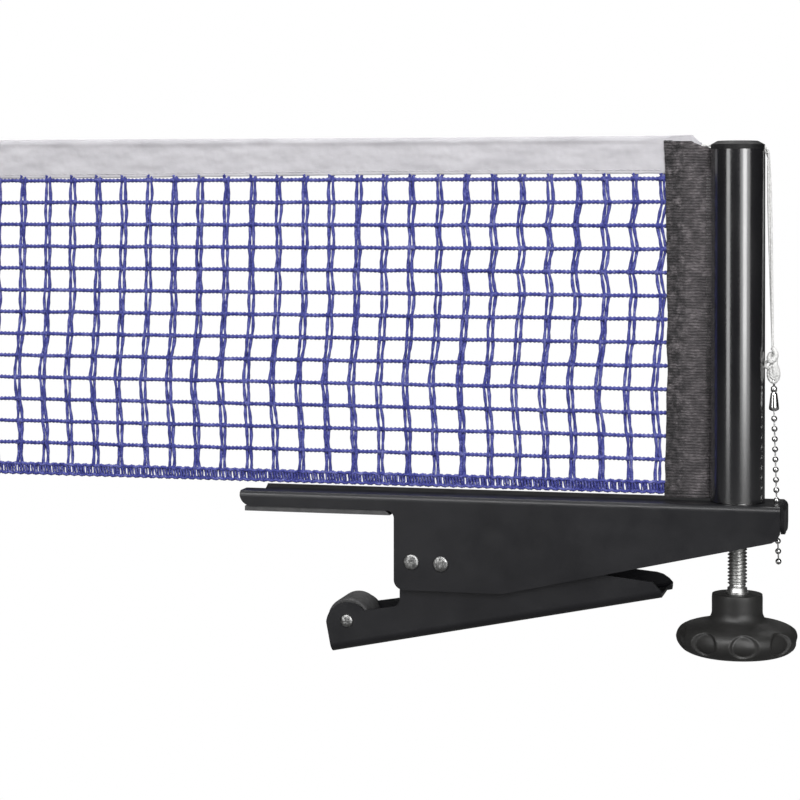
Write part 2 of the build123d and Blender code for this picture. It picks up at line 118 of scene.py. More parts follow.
class Shape:
    """Collects grids of points, in millimetres, into one mesh."""

    def __init__(self):
        self.points = []
        self.faces = []

    def grid(self, rows, around=True, capped=True):
        """Quads through equal rows of points. Around closes each row to a ring, and capped fills the ends."""
        first = len(self.points)
        width = len(rows[0])
        for row in rows:
            self.points.extend(row)
        steps = width if around else width - 1
        for r in range(len(rows) - 1):
            base = first + r * width
            for c in range(steps):
                a = base + c
                b = base + (c + 1) % width
                self.faces.append((a, b, b + width, a + width))
        if around and capped:
            last = first + (len(rows) - 1) * width
            self.faces.append(tuple(range(first, first + width)))
            self.faces.append(tuple(range(last, last + width)))

    def tube(self, path, radius, sides=8, lobes=0.0, lay=3.0, closed=False):
        """Thread round a path. Lobes gives it two plies, which turn once in every lay millimetres."""
        rings = []
        path = [Vector(p) for p in path]
        side = None
        travelled = 0.0
        for i, here in enumerate(path):
            before = path[i - 1] if i or closed else here
            after = path[(i + 1) % len(path)] if i + 1 < len(path) or closed else here
            ahead = (after - before).normalized()
            if side is None:
                side = ahead.orthogonal().normalized()
            side = (side - ahead * side.dot(ahead)).normalized()
            up = ahead.cross(side)
            if i:
                travelled += (here - path[i - 1]).length
            ring = []
            for k in range(sides):
                angle = TURN * k / sides
                reach = radius * (1 + lobes * math.cos(2 * (angle - TURN * travelled / lay)))
                ring.append(here + side * (reach * math.cos(angle)) + up * (reach * math.sin(angle)))
            rings.append(ring)
        if closed:
            rings.append(rings[0])
        self.grid(rings, capped=not closed)

    def folded(self, rows):
        """Folded cloth. Each row runs along the outer face and back along the inner one."""
        first = len(self.points)
        width = len(rows[0])
        self.grid(rows, capped=False)
        for start in (first, first + (len(rows) - 1) * width):
            for k in range(width // 2 - 1):
                back = width - 1 - k
                self.faces.append((start + k, start + k + 1, start + back - 1, start + back))

    def turned(self, profile, sides, centre=(0.0, 0.0), lying=False):
        """Solid of revolution from (radius, height) points, upright or lying along Y."""
        rings = []
        for radius, height in profile:
            ring = []
            for k in range(sides):
                angle = TURN * k / sides
                a, b = centre[0] + radius * math.cos(angle), centre[1] + radius * math.sin(angle)
                ring.append((a, height, b) if lying else (a, b, height))
            rings.append(ring)
        self.grid(rings)

    def build(self, name, material, body=None, replaces=()):
        """Makes the object, gives it its finish and lets it ride on its body."""
        mesh = bpy.data.meshes.new(name)
        mesh.from_pydata([Vector(p) * MM for p in self.points], [], self.faces)
        sorted_mesh = bmesh.new()
        sorted_mesh.from_mesh(mesh)
        bmesh.ops.remove_doubles(sorted_mesh, verts=sorted_mesh.verts, dist=1e-7)
        bmesh.ops.recalc_face_normals(sorted_mesh, faces=sorted_mesh.faces)
        sorted_mesh.to_mesh(mesh)
        sorted_mesh.free()
        mesh.shade_smooth()
        mesh.materials.append(material)
        piece = bpy.data.objects.new(name, mesh)
        bpy.context.scene.collection.objects.link(piece)
        if replaces:
            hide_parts(*replaces)
        if body:
            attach(piece, body)
        return piece


def wobble(x, z, step, seed=0.0):
    """Smooth noise from -1 to 1 that changes over about step millimetres."""
    return noise.noise(Vector((x / step, z / step, seed)))


def between(low, high, share):
    """The value at that share of the way from low to high."""
    return low + (high - low) * share


def eased(share):
    """Share from 0 to 1 with soft ends."""
    share = min(1.0, max(0.0, share))
    return share * share * (3 - 2 * share)


def smooth_line(name, points, detail=24):
    """Points read along the smooth spline that the given points control, in millimetres."""
    curve = bpy.data.curves.new(name, "CURVE")
    curve.dimensions = "3D"
    spline = curve.splines.new("NURBS")
    spline.points.add(len(points) - 1)
    for target, (x, y, z) in zip(spline.points, points):
        target.co = (x, y, z, 1.0)
    spline.order_u = 3
    spline.use_endpoint_u = True
    spline.resolution_u = detail
    holder = bpy.data.objects.new(name, curve)
    bpy.context.scene.collection.objects.link(holder)
    line = bpy.data.meshes.new_from_object(holder)
    found = [vertex.co.copy() for vertex in line.vertices]
    bpy.data.objects.remove(holder)
    bpy.data.meshes.remove(line)
    return found


# Materials ------------------------------------------------------------------


class Finish:
    """A material with a principled shader, and short calls for the nodes that give it its detail."""

    def __init__(self, name, roughness=0.5, metallic=0.0, **sockets):
        self.material = bpy.data.materials.new(name)
        self.material.use_nodes = True
        self.tree = self.material.node_tree
        self.shader = self.tree.nodes["Principled BSDF"]
        self.place = self.add("ShaderNodeTexCoord").outputs["Object"]
        self.set(Roughness=roughness, Metallic=metallic)
        for socket, value in sockets.items():
            self.shader.inputs[socket.replace("_", " ")].default_value = value

    def add(self, kind):
        return self.tree.nodes.new(kind)

    def join(self, source, target):
        self.tree.links.new(source, target)

    def set(self, **values):
        """Constant values of the shader's sockets."""
        for socket, value in values.items():
            self.shader.inputs[socket].default_value = value

    def stretched(self, scale):
        """Object coordinates scaled along each axis."""
        mapping = self.add("ShaderNodeMapping")
        mapping.inputs["Scale"].default_value = scale
        self.join(self.place, mapping.inputs["Vector"])
        return mapping.outputs["Vector"]

    def noise(self, size, detail=3.0, stretch=(1, 1, 1), roughness=0.55):
        """Noise with features of about size millimetres."""
        node = self.add("ShaderNodeTexNoise")
        node.inputs["Scale"].default_value = 1 / (size * MM)
        node.inputs["Detail"].default_value = detail
        node.inputs["Roughness"].default_value = roughness
        self.join(self.stretched(stretch), node.inputs["Vector"])
        return node.outputs["Fac"]

    def ribs(self, pitch, axis, distortion=0.0, detail=1.0):
        """Even bands across an axis, pitch millimetres apart."""
        node = self.add("ShaderNodeTexWave")
        node.bands_direction = axis
        node.inputs["Scale"].default_value = TURN / (pitch * MM * 20)
        node.inputs["Distortion"].default_value = distortion
        node.inputs["Detail"].default_value = detail
        self.join(self.place, node.inputs["Vector"])
        return node.outputs["Fac"]

    def beside(self, start, end):
        """One inboard of start and nought outboard of end, both in millimetres along X."""
        split = self.add("ShaderNodeSeparateXYZ")
        self.join(self.place, split.inputs[0])
        node = self.add("ShaderNodeMapRange")
        node.inputs["From Min"].default_value = end * MM
        node.inputs["From Max"].default_value = start * MM
        self.join(split.outputs["X"], node.inputs["Value"])
        return node.outputs["Result"]

    def mixed(self, first, second, kind="MULTIPLY"):
        """One factor and another, or a number, put through a maths node."""
        node = self.add("ShaderNodeMath")
        node.operation = kind
        self.join(first, node.inputs[0])
        if hasattr(second, "node"):
            self.join(second, node.inputs[1])
        else:
            node.inputs[1].default_value = second
        return node.outputs[0]

    def color(self, factor, *stops):
        """Base colour from a ramp. Each stop is (place, colour)."""
        ramp = self.add("ShaderNodeValToRGB")
        elements = ramp.color_ramp.elements
        while len(elements) < len(stops):
            elements.new(0.5)
        for element, (place, color) in zip(elements, stops):
            element.position = place
            element.color = (*color, 1.0)
        self.join(factor, ramp.inputs["Fac"])
        self.join(ramp.outputs["Color"], self.shader.inputs["Base Color"])
        return self

    def rough(self, factor, low, high):
        """Roughness that follows a factor."""
        node = self.add("ShaderNodeMapRange")
        node.inputs["From Min"].default_value = 0.3
        node.inputs["From Max"].default_value = 0.7
        node.inputs["To Min"].default_value = low
        node.inputs["To Max"].default_value = high
        self.join(factor, node.inputs["Value"])
        self.join(node.outputs["Result"], self.shader.inputs["Roughness"])
        return self

    def bump(self, *layers):
        """Relief from layers of (height, depth in millimetres), laid over each other."""
        normal = None
        for height, depth in layers:
            node = self.add("ShaderNodeBump")
            node.inputs["Strength"].default_value = 1.0
            node.inputs["Distance"].default_value = depth * MM
            self.join(height, node.inputs["Height"])
            if normal is not None:
                self.join(normal, node.inputs["Normal"])
            normal = node.outputs["Normal"]
        self.join(normal, self.shader.inputs["Normal"])
        return self


def charcoal_coat():
    """Satin powder coat of the clamp frame and the lever."""
    finish = Finish("charcoal_coat", roughness=0.36, Specular_IOR_Level=0.5)
    blotch = finish.noise(38, detail=4)
    finish.color(blotch, (0.3, (0.008, 0.008, 0.0095)), (0.7, (0.013, 0.013, 0.015)))
    finish.rough(finish.noise(9, detail=5), 0.3, 0.42)
    finish.bump((finish.noise(0.55, detail=2), 0.02), (finish.noise(14, detail=2), 0.03))
    return finish.material


def post_gloss():
    """Smooth black gloss paint of the post."""
    finish = Finish("post_gloss", roughness=0.2, Specular_IOR_Level=0.9, Coat_Weight=1.0, Coat_Roughness=0.12)
    finish.color(finish.noise(30, detail=4), (0.3, (0.007, 0.007, 0.0085)), (0.7, (0.012, 0.012, 0.013)))
    finish.rough(finish.noise(5, detail=6, stretch=(1, 1, 0.2)), 0.16, 0.25)
    finish.bump((finish.noise(2.4, detail=2), 0.006))
    return finish.material


def cap_plastic():
    """Moulded cap with a fine spark texture."""
    finish = Finish("cap_plastic", roughness=0.5, Specular_IOR_Level=0.25)
    finish.color(finish.noise(1.1, detail=4), (0.35, (0.006, 0.006, 0.0065)), (0.7, (0.016, 0.016, 0.016)))
    finish.rough(finish.noise(3, detail=4), 0.45, 0.6)
    finish.bump((finish.noise(0.5, detail=3), 0.05))
    return finish.material


def knob_plastic():
    """Slightly warm moulded plastic of the knob."""
    finish = Finish("knob_plastic", roughness=0.45)
    finish.color(finish.noise(16, detail=5), (0.3, (0.016, 0.0157, 0.0152)), (0.7, (0.023, 0.0225, 0.0215)))
    finish.rough(finish.noise(6, detail=4), 0.38, 0.52)
    finish.bump((finish.noise(0.45, detail=2), 0.025), (finish.noise(5, detail=2), 0.05))
    return finish.material


def dark_plastic():
    """Plain moulded plastic of the inner pieces."""
    finish = Finish("dark_plastic", roughness=0.5)
    finish.color(finish.noise(4), (0.3, (0.03, 0.03, 0.03)), (0.7, (0.05, 0.05, 0.05)))
    finish.bump((finish.noise(0.5), 0.02))
    return finish.material


def pad_rubber():
    """Grey rubber of the jaw pad."""
    finish = Finish("pad_rubber", roughness=0.75)
    finish.color(finish.noise(3, detail=5), (0.3, (0.045, 0.045, 0.047)), (0.7, (0.085, 0.085, 0.085)))
    finish.bump((finish.noise(0.4, detail=3), 0.05), (finish.noise(6), 0.12))
    return finish.material


def roller_rubber():
    """Dark rubber of the roller, a little scuffed."""
    finish = Finish("roller_rubber", roughness=0.7)
    finish.color(finish.noise(2.5, detail=6), (0.3, (0.028, 0.028, 0.029)), (0.75, (0.065, 0.065, 0.066)))
    finish.rough(finish.noise(2, detail=4), 0.55, 0.8)
    finish.bump((finish.noise(0.5, detail=4), 0.06))
    return finish.material


def bright_zinc():
    """Bright zinc plating of the screw and the small hardware."""
    finish = Finish("bright_zinc", roughness=0.3, metallic=1.0)
    finish.color(finish.noise(2.2, detail=5), (0.3, (0.50, 0.50, 0.49)), (0.7, (0.72, 0.72, 0.71)))
    finish.rough(finish.noise(0.8, detail=4), 0.3, 0.46)
    finish.bump((finish.noise(0.3, detail=3), 0.012))
    return finish.material


def peened_zinc():
    """Duller zinc of the rivets, dented by the riveting tool."""
    finish = Finish("peened_zinc", roughness=0.36, metallic=1.0)
    finish.color(
        finish.noise(1.1, detail=5),
        (0.32, (0.14, 0.14, 0.14)),
        (0.55, (0.36, 0.36, 0.355)),
        (0.72, (0.62, 0.62, 0.61)),
    )
    finish.rough(finish.noise(0.7, detail=4), 0.28, 0.5)
    finish.bump((finish.noise(1.0, detail=4), 0.16), (finish.noise(0.3, detail=3), 0.02))
    return finish.material


def spring_wire():
    """Oiled spring steel."""
    finish = Finish("spring_wire", roughness=0.38, metallic=1.0)
    finish.color(finish.noise(1.5, detail=4), (0.3, (0.16, 0.16, 0.17)), (0.7, (0.30, 0.30, 0.31)))
    finish.bump((finish.noise(0.25, detail=3), 0.01))
    return finish.material


def turned_brass():
    """Brass with fine turning marks."""
    finish = Finish("turned_brass", roughness=0.35, metallic=1.0)
    finish.color(finish.noise(2, detail=3), (0.3, (0.62, 0.46, 0.2)), (0.7, (0.75, 0.58, 0.28)))
    finish.bump((finish.ribs(0.3, "Z"), 0.01))
    return finish.material


def chain_nickel():
    """Bright nickel of the ball chain and its bell."""
    finish = Finish("chain_nickel", roughness=0.16, metallic=1.0)
    finish.color(finish.noise(0.8, detail=3), (0.3, (0.52, 0.52, 0.52)), (0.7, (0.76, 0.76, 0.75)))
    finish.rough(finish.noise(0.6, detail=4), 0.1, 0.24)
    finish.bump((finish.noise(0.5, detail=2), 0.008))
    return finish.material


def tape_cloth():
    """White cotton tape in plain weave, with painted soft grey shade in long streaks, standing in for the
    shade of its wrinkles.
    """
    finish = Finish("tape_cloth", roughness=0.9, Sheen_Weight=0.25, Sheen_Roughness=0.4)
    # Painted shade: noise stretched along the tape greys it in long soft streaks, standing in for the shade
    # of its wrinkles.
    tone = finish.noise(11, detail=6, stretch=(0.5, 1, 1.6))
    finish.color(tone, (0.3, (0.42, 0.41, 0.435)), (0.5, (0.475, 0.465, 0.49)), (0.7, (0.52, 0.51, 0.535)))
    weave = finish.mixed(finish.ribs(0.45, "X", 0.6), finish.ribs(0.45, "Z", 0.6))
    finish.bump((weave, 0.05), (finish.noise(2.2, detail=4), 0.12))
    return finish.material


def net_thread():
    """Blue twisted thread with loose fibres."""
    finish = Finish("net_thread", roughness=0.75, Sheen_Weight=0.35, Sheen_Roughness=0.35)
    fibre = finish.mixed(finish.mixed(finish.noise(0.7, detail=5), finish.noise(2.6, detail=4), "ADD"), 0.5)
    finish.color(fibre, (0.38, (0.012, 0.016, 0.15)), (0.5, (0.040, 0.047, 0.26)), (0.64, (0.15, 0.16, 0.39)))
    finish.bump((finish.noise(0.22, detail=4), 0.08), (finish.noise(0.9, detail=2), 0.12))
    return finish.material


def sleeve_cloth():
    """Dark grey-brown elastic cloth with fine ribs across it, and painted dark shade in the folds of the
    puckered cloth inboard of its seam.
    """
    finish = Finish("sleeve_cloth", roughness=0.8, Sheen_Weight=0.35, Sheen_Roughness=0.4)
    loose = finish.beside(144.0, 147.5)
    # Painted shade: patches of noise darken the puckered cloth inboard of the seam, as the shade in its folds
    # would.
    painted_crease_shade = finish.mixed(finish.mixed(finish.noise(2.3, detail=5, roughness=0.7), 2.6), -1.15, "ADD")
    painted_crease_shade = finish.mixed(painted_crease_shade, 0.0, "MAXIMUM")
    fleck = finish.mixed(finish.noise(0.5, detail=5, stretch=(0.3, 1, 1)), finish.noise(4.0, detail=5), "ADD")
    # The painted fold shade is taken off the random flecks of the cloth's own tone.
    tone = finish.mixed(finish.mixed(fleck, 0.5), finish.mixed(finish.mixed(painted_crease_shade, loose), -0.75), "ADD")
    finish.color(
        tone,
        (0.14, (0.009, 0.008, 0.009)),
        (0.36, (0.026, 0.023, 0.025)),
        (0.5, (0.054, 0.048, 0.051)),
        (0.62, (0.125, 0.112, 0.117)),
    )
    ribs = finish.ribs(1.15, "Z", distortion=3.0, detail=2.5)
    finish.bump((ribs, 0.22), (finish.noise(0.5, detail=4), 0.22), (finish.noise(2.4, detail=5), 0.6))
    return finish.material


def cord_braid():
    """White braided cord."""
    finish = Finish("cord_braid", roughness=0.8, Sheen_Weight=0.3, Sheen_Roughness=0.4)
    finish.color(finish.noise(0.9, detail=4), (0.3, (0.55, 0.55, 0.54)), (0.7, (0.78, 0.78, 0.77)))
    finish.bump((finish.ribs(0.55, "DIAGONAL", 1.5), 0.08), (finish.noise(0.2, detail=3), 0.04))
    return finish.material


def paint_cad_nodes(finishes):
    """Gives each carried-over CAD node the finish of its material slot, or its own."""
    slots = {part["node"]: part["material_slot"] for part in frame["record"]["subparts"]}
    own = {"post_cap": "cap_plastic", "sleeve_batten": "dark_plastic", "roller_hub": "dark_plastic"}
    for name, node in frame["nodes"].items():
        finish = finishes[own.get(name, slots[name])]
        node.data.materials.clear()
        node.data.materials.append(finish)


# Cord, knot and chain -------------------------------------------------------


def two_strands(shape, line, radius, turns):
    """Two thin strands side by side round a line, slowly turning about each other."""
    for start in (0.0, math.pi):
        path = []
        for i, here in enumerate(line):
            after = line[min(i + 1, len(line) - 1)]
            before = line[max(i - 1, 0)]
            ahead = (after - before).normalized()
            across = Vector((0, 1, 0))
            up = ahead.cross(across).normalized()
            angle = start + turns * TURN * i / (len(line) - 1)
            path.append(here + (across * math.cos(angle) + up * math.sin(angle)) * radius * 0.94)
        shape.tube(path, radius, sides=10, lobes=0.06, lay=2.4)


def net_cord(finish):
    """Doubled cord out of the tape, over the cap and down to the knot."""
    line = smooth_line("cord_line", [(x, 0.0, z) for x, z in CORD_ROUTE], detail=48)
    shape = Shape()
    two_strands(shape, line, 0.48, turns=1.5)
    piece = shape.build("net_cord_strands", finish, replaces=["net_cord"])
    return piece, line


def cord_knot(finish):
    """Overhand knot with a full loop below it, which the chain's bell hangs in."""
    x = 181.2
    upper = [
        (x, 0.0, 69.0), (x + 1.3, -1.0, 67.6), (x + 1.5, -1.2, 65.2), (x - 0.6, -1.5, 63.4),
        (x - 1.7, 0.0, 64.8), (x - 0.8, 1.4, 67.0), (x + 1.2, 0.9, 65.6), (x + 0.9, -0.9, 63.0),
    ]
    loop = [
        (x + 1.9, -0.6, 60.8), (x + 2.2, 0.0, 57.8), (x + 0.7, 0.1, 55.4), (x - 1.2, 0.2, 56.6),
        (x - 1.6, 0.3, 59.6), (x - 0.4, 0.9, 62.4), (x + 0.9, 1.2, 64.4),
    ]
    tail = [
        (x - 1.0, 0.8, 64.0), (x - 2.8, 0.6, 63.6), (x - 3.1, 0.2, 61.4), (x - 1.2, -0.8, 60.9),
        (x, -0.9, 62.6),
    ]
    inner = [
        (x + 0.4, -1.0, 62.6), (x + 1.0, -1.1, 59.6), (x + 0.7, -0.5, 56.9), (x - 0.4, -0.3, 57.6),
        (x - 0.8, -0.4, 60.2), (x - 0.2, 0.2, 62.8),
    ]
    shape = Shape()
    shape.tube(smooth_line("knot_line", upper + loop, detail=10), 0.95, sides=12, lobes=0.05, lay=2.4)
    shape.tube(smooth_line("tail_line", tail, detail=8), 0.6, sides=10, lobes=0.05, lay=2.4)
    shape.tube(smooth_line("inner_line", inner, detail=8), 0.85, sides=12, lobes=0.05, lay=2.4)
    return shape.build("cord_knot_loops", finish, "clamp_frame", ["cord_knot"])


def chain_bell(finish):
    """Pressed bell that grips the chain's first bead, with a crimped neck and a wire eye."""
    centre = (181.7, 0.0)
    shape = Shape()
    profile = [
        (0.3, 44.1), (1.2, 44.35), (1.85, 44.75), (2.0, 45.3), (1.86, 46.6), (1.62, 48.6), (1.4, 50.4),
        (1.25, 51.2), (0.95, 51.45), (0.95, 51.8), (1.22, 52.0), (1.22, 53.5), (0.95, 53.75), (0.7, 54.0),
    ]
    shape.turned(profile, 28, centre)
    eye = []
    for k in range(20):
        angle = TURN * k / 20
        eye.append((centre[0], 1.05 * math.sin(angle), 55.2 + 1.5 * math.cos(angle)))
    shape.tube(eye, 0.38, sides=8, closed=True)
    return shape.build("chain_bell", finish, "clamp_frame", ["chain_connector"])


def chain_place(number):
    """Centre of a bead, counted down from the bell."""
    first_x = 181.8
    first_z = 41.2
    slant = 0.031
    drop = number * BEAD_PITCH
    return first_x + drop * slant, first_z - drop


def chain_beads(finish):
    """Hollow beads, each pressed shut with a small collar at both of its holes."""
    shape = Shape()
    for number in range(BEAD_COUNT):
        x, z = chain_place(number)
        profile = [(0.34, z - BEAD_RADIUS - 0.02)]
        for k in range(1, 12):
            angle = math.pi * (k / 12 - 0.5)
            profile.append((BEAD_RADIUS * math.cos(angle), z + BEAD_RADIUS * math.sin(angle)))
        profile.append((0.34, z + BEAD_RADIUS + 0.02))
        shape.turned(profile, 20, (x, 0.0))
    return shape.build("chain_beads", finish, "clamp_frame", ["ball_chain"])


def chain_wire(finish):
    """Fine wire that joins the beads."""
    line = smooth_line("chain_line", [(x, 0.0, z) for x, z in CHAIN_ROUTE], detail=24)
    shape = Shape()
    shape.tube(line, 0.28, sides=8)
    return shape.build("chain_wire", finish, "clamp_frame", ["chain_links"]), line


def cord_and_chain(cord_finish, chain_finish):
    """The two free cords, with what hangs on them."""
    cord, cord_line = net_cord(cord_finish)
    knot = cord_knot(cord_finish)
    bell = chain_bell(chain_finish)
    beads = chain_beads(chain_finish)
    wire, wire_line = chain_wire(chain_finish)
    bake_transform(cord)


# Net ------------------------------------------------------------------------

# The columns lean inboard row by row, zigzag near the post and bulge inboard low down. Shifts are in mm.
COLUMN_START_LEAN = 0.2
COLUMN_LEAN = 0.13
COLUMN_ZIGZAG = 0.9
ZIGZAG_LAST_ROW = 5
ZIGZAG_LAST_COLUMN = 16
COLUMN_BULGE = 2.0
BULGE_ROW = 9
BULGE_SPREAD = 1.6  # in rows


def row_height(row):
    """Height of a row. The last one is the middle of the bottom band."""
    return FIRST_ROW - row * ROW_SPACING if row < ROW_COUNT else BAND_TOP - 0.8


def row_shift(row, column):
    """Shift of a column at a row. Inboard is negative."""
    lean = COLUMN_START_LEAN + COLUMN_LEAN * row
    bulge = COLUMN_BULGE * math.exp(-(((row - BULGE_ROW) / BULGE_SPREAD) ** 2))
    zigzag = 0.0
    if 0 < row <= ZIGZAG_LAST_ROW:
        zigzag = COLUMN_ZIGZAG * (-1) ** row * max(0.0, 1 - column / ZIGZAG_LAST_COLUMN)
    return -(lean + bulge + zigzag)


def row_thread(row, x):
    """Point on a row's thread, which waves slightly."""
    z = row_height(row) + 0.22 * wobble(x, row * 31.0, 9.0)
    return Vector((x, 0.25 * wobble(x, row * 17.0, 13.0, 4.0), z))


def column_crossings(column):
    """Where a column meets the tape, each row and the band."""
    base = SLEEVE_START - 0.1 - column * COLUMN_SPACING
    spots = [Vector((base + chance.uniform(-0.2, 0.2), 0.0, TAPE_FOOT + 0.2))]
    for row in range(ROW_COUNT + 1):
        x = base + row_shift(row, column) + chance.uniform(-0.2, 0.2)
        spots.append(row_thread(row, x) if row < ROW_COUNT else Vector((x, 0.0, row_height(row))))
    return spots


def column_strands(shape, spots):
    """The two strands of a column. They spread between rows, and one passes each side of a row's thread."""
    steps = 7
    left, right = [], []
    for number, (top, foot) in enumerate(zip(spots, spots[1:])):
        spread = chance.uniform(0.85, 1.05)
        middle_spread = chance.choice((0.6, 0.75, 0.9, 1.0))
        depth = 0.45 if number % 2 else -0.45
        bow = chance.uniform(-0.35, 0.35)
        for step in range(steps):
            share = step / steps
            centre = top.lerp(foot, eased(share) * 0.55 + share * 0.45)
            swell = math.sin(math.pi * share)
            half = between(spread, middle_spread, swell) * between(0.85, 1.0, swell)
            turn = depth * math.cos(math.pi * share)
            sway = bow * swell
            left.append(centre + Vector((sway - half, turn, 0)))
            right.append(centre + Vector((sway + half, -turn, 0)))
    left.append(spots[-1] + Vector((-0.8, 0.3, 0)))
    right.append(spots[-1] + Vector((0.8, -0.3, 0)))
    for path in (left, right):
        shape.tube(path, chance.uniform(0.6, 0.72), sides=9, lobes=0.2, lay=2.6)


def crossing_wraps(shape, spot):
    """Loops of the column that grip a row's thread."""
    for offset in (-1.15, -0.4, 0.35, 1.1):
        lean = chance.uniform(-0.25, 0.25)
        ring = []
        for k in range(9):
            angle = TURN * k / 9
            across = math.cos(angle)
            ring.append(spot + Vector((offset + lean * across, 0.8 * across, 0.72 * math.sin(angle))))
        shape.tube(ring, 0.42, sides=6, closed=True)


def net_mesh(finish):
    """Rows of two-ply thread, and columns of paired strands looped round each row."""
    shape = Shape()
    step = 0.5
    reach = SLEEVE_START + 2.2
    for row in range(ROW_COUNT):
        count = int((reach - NET_START) / step)
        path = [row_thread(row, between(NET_START, reach, i / count)) for i in range(count + 1)]
        shape.tube(path, 0.74, sides=10, lobes=0.3, lay=3.4)
    columns = int((SLEEVE_START - 4 - NET_START) / COLUMN_SPACING) + 1
    for column in range(columns):
        spots = column_crossings(column)
        column_strands(shape, spots)
        for spot in spots[1:-1]:
            crossing_wraps(shape, spot)
    piece = shape.build("net_threads", finish, "post", ["net_mesh"])


def net_bottom_band(finish):
    """Overlocked lower edge: two scalloped edge threads with stitches across."""
    shape = Shape()
    scallop = 3.5
    step = 0.5
    reach = SLEEVE_START + 2.0
    count = int((reach - NET_START) / step)
    for base, rise, phase in ((BAND_TOP - 0.9, 0.55, 0.0), (BAND_FOOT + 0.9, -0.55, 0.35)):
        for depth in (-0.35, 0.35):
            path = []
            for i in range(count + 1):
                x = between(NET_START, reach, i / count)
                bump = abs(math.sin(math.pi * (x / scallop + phase)))
                path.append(Vector((x, depth + 0.15 * wobble(x, base, 4.0), base + rise * bump)))
            shape.tube(path, 0.62, sides=8, lobes=0.2, lay=2.4)
    stitch = 0.62
    stitches = int((reach - NET_START) / stitch)
    for number in range(stitches):
        open_here = number % 5 == 1 and chance.random() < 0.55
        if open_here:
            continue
        x = NET_START + (number + 0.5) * stitch
        lean = chance.uniform(0.1, 0.7)
        side = 0.4 if number % 2 else -0.4
        path = []
        for k in range(6):
            share = k / 5
            swell = math.sin(math.pi * share)
            z = between(BAND_TOP - 0.5, BAND_FOOT + 0.5, share)
            stray = chance.uniform(-0.08, 0.08)
            path.append(Vector((x + lean * (share - 0.5) + stray, side * (0.5 + 0.5 * swell), z)))
        shape.tube(path, chance.uniform(0.4, 0.5), sides=7, lobes=0.15, lay=1.8)
    return shape.build("net_band_stitches", finish, "post", ["net_bottom_band"])


def tape_bounds(x):
    """Lower and upper edge of the tape. It is taller inboard, and past the sleeve's edge it is a tongue."""
    tongue_foot = 150.4
    tongue = eased((x - 139.5) / 1.5)
    top = between(TAPE_TOP, TAPE_TOP + 0.4 * min(1.0, (x - SLEEVE_START) / 11), tongue)
    foot = between(TAPE_FOOT, tongue_foot, tongue)
    fall = eased((x - 149.0) / 4.5)
    inboard = eased((60 - x) / 200)
    return foot - 2.8 * fall - 1.1 * inboard, top - 3.2 * fall + 0.35 * inboard


def tape_face(x, share, side, depth):
    """Point on the tape's face, depth millimetres inside its outer surface."""
    foot, top = tape_bounds(x)
    z = between(foot, top - depth, share)
    cord_place = 0.9
    bulge = 0.55 * math.exp(-(((share - cord_place) / 0.07) ** 2))
    edge = math.sqrt(max(0.0, 1 - max(0.0, (share - cord_place) / 0.1) ** 2))
    crease = 0.125 * wobble(x, 3.0, 7.0, 2.0)
    loose = 1 - 0.9 * eased((x - SLEEVE_START + 8) / 7)
    wave = 0.42 * wobble(x * 0.8, z * 1.7, 6.5) + 0.16 * wobble(x, z, 2.1, 9.0) + crease
    half = (0.5 + bulge * loose) * edge
    return (x, side * max(0.02, half - depth) + wave * loose, z + 0.12 * wobble(x, 50.0, 5.0))


def net_tape(finish):
    """White tape folded over the head cord, wrinkled, with a row of stitches along its foot."""
    shape = Shape()
    step = 0.8
    reach = 153.4
    cloth = 0.28
    count = int((reach - NET_START) / step)
    rise = [k / 21 for k in range(22)]
    rows = []
    for i in range(count + 1):
        x = between(NET_START, reach, i / count)
        outer = [tape_face(x, share, -1, 0.0) for share in rise]
        outer += [tape_face(x, share, 1, 0.0) for share in reversed(rise)]
        inner = [tape_face(x, share, 1, cloth) for share in rise]
        inner += [tape_face(x, share, -1, cloth) for share in reversed(rise)]
        rows.append(outer + inner)
    shape.folded(rows)
    piece = shape.build("net_tape_cloth", finish, "post", ["net_tape"])
    stitches = Shape()
    pitch = 2.7
    for number in range(int((SLEEVE_START - NET_START) / pitch)):
        x = NET_START + (number + 0.2) * pitch
        for side in (-1, 1):
            path = []
            for k in range(5):
                share = k / 4
                spot = Vector(tape_face(x + 1.9 * share, 0.1, side, 0.0))
                path.append(spot + Vector((0, side * (0.14 * math.sin(math.pi * share) - 0.02), 0)))
            stitches.tube(path, 0.17, sides=6)
    seam = stitches.build("net_tape_stitches", finish, "post")


SLEEVE_FOOT = 9.1
SLEEVE_TOP = 150.7
CLOTH_WIDTH = 17.8  # across a panel, as the cloth's waves see it


def sleeve_edges(z):
    """Left and right edge of the sleeve at a height."""
    left = SLEEVE_START + 1.7 * math.sin(math.pi * min(1.0, max(0.0, (152 - z) / 150))) ** 0.7
    left += 0.45 * wobble(3.0, z, 11.0)
    right = SLEEVE_END
    corner = 147.6
    if z > HEM_FOOT:
        right += 0.2
    if z > corner:
        right = between(SLEEVE_END, 149.6, (z - corner) / 3.1)
    return left, right


def sleeve_relief(share, z):
    """Height of the sleeve's surface: loose puckered cloth, a seam and a calmer ribbed part."""
    across = share * CLOTH_WIDTH
    seam = 0.36 + 0.03 * wobble(7.0, z, 6.0)
    rough = 1 - eased((share - seam) / 0.14)
    pucker = wobble(across, z, 4.2, 1.0) * 0.6 + wobble(across, z, 1.9, 5.0) * 0.6
    stitch = math.exp(-(((share - seam) / 0.05) ** 2)) * (0.45 + 0.8 * abs(wobble(2.0, z, 2.4, 8.0)))
    ribs = 0.12 * math.sin(TURN * (z + 0.5 * wobble(across, z, 1.7, 2.0)) / 1.35)
    waves = 0.25 * wobble(share * 9.0, z, 4.5, 3.0) + ribs
    return between(waves, 1.35 * pucker, rough) - 1.0 * stitch


